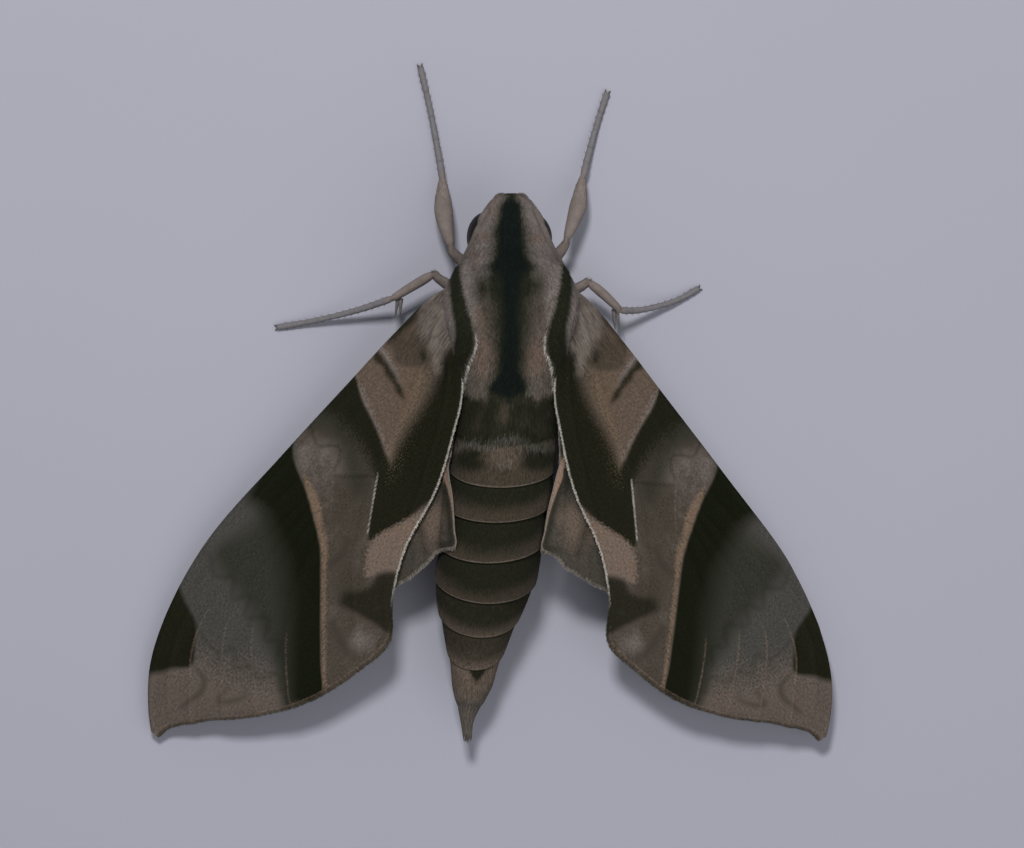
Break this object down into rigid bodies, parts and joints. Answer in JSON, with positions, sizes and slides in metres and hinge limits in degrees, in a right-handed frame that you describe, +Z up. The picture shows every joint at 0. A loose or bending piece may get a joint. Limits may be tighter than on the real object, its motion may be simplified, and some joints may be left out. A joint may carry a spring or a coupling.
{
  "type": "hawk moth",
  "caption": "Life-size hawk moth at rest, wings half spread and sloping to the floor, standing on its feet; a still figure of a large banded olive-brown sphinx moth.",
  "frame": {"origin": "on the floor, below the centre of the bounding box", "axes": "+Y towards the head, +X towards the moth's right side, +Z up from the floor"},
  "size_m": [0.0758, 0.0748, 0.0166],
  "materials": {
    "head_coat": "matt pinkish grey hair-scales with a black-green stripe",
    "thorax_coat": "matt grey-brown hair-scales, dark olive shoulder stripes",
    "abdomen_coat": "matt dark olive and brown scales in rings",
    "forewing_scales": "matt scales in olive-black, brown and pink-grey bands",
    "hindwing_scales": "matt grey-brown scales",
    "eye": "glossy near-black",
    "antenna": "matt pale brown",
    "tongue": "smooth brown",
    "leg": "matt pale grey-brown scales",
    "tarsus": "matt grey scales"
  },
  "bodies": {
    "root": {"abdomen_1": "abdomen_coat", "abdomen_2": "abdomen_coat", "abdomen_3": "abdomen_coat", "abdomen_4": "abdomen_coat", "abdomen_5": "abdomen_coat", "abdomen_6": "abdomen_coat", "abdomen_7": "abdomen_coat", "abdomen_8": "abdomen_coat", "antenna_left": "antenna", "antenna_right": "antenna", "collar": "head_coat", "eye_left": "eye", "eye_right": "eye", "foreleg_left_femur": "leg", "foreleg_left_tarsus": "tarsus", "foreleg_left_tibia": "leg", "foreleg_right_femur": "leg", "foreleg_right_tarsus": "tarsus", "foreleg_right_tibia": "leg", "forewing_left": "forewing_scales", "forewing_right": "forewing_scales", "head": "head_coat", "hindleg_left_femur": "leg", "hindleg_left_tarsus": "tarsus", "hindleg_left_tibia": "leg", "hindleg_right_femur": "leg", "hindleg_right_tarsus": "tarsus", "hindleg_right_tibia": "leg", "hindwing_left": "hindwing_scales", "hindwing_right": "hindwing_scales", "midleg_left_femur": "leg", "midleg_left_tarsus": "tarsus", "midleg_left_tibia": "leg", "midleg_right_femur": "leg", "midleg_right_tarsus": "tarsus", "midleg_right_tibia": "leg", "palp_left": "head_coat", "palp_right": "head_coat", "proboscis": "tongue", "tail_tuft": "abdomen_coat", "tegula_left": "thorax_coat", "tegula_right": "thorax_coat", "thorax": "thorax_coat"}
  },
  "joints": []
}
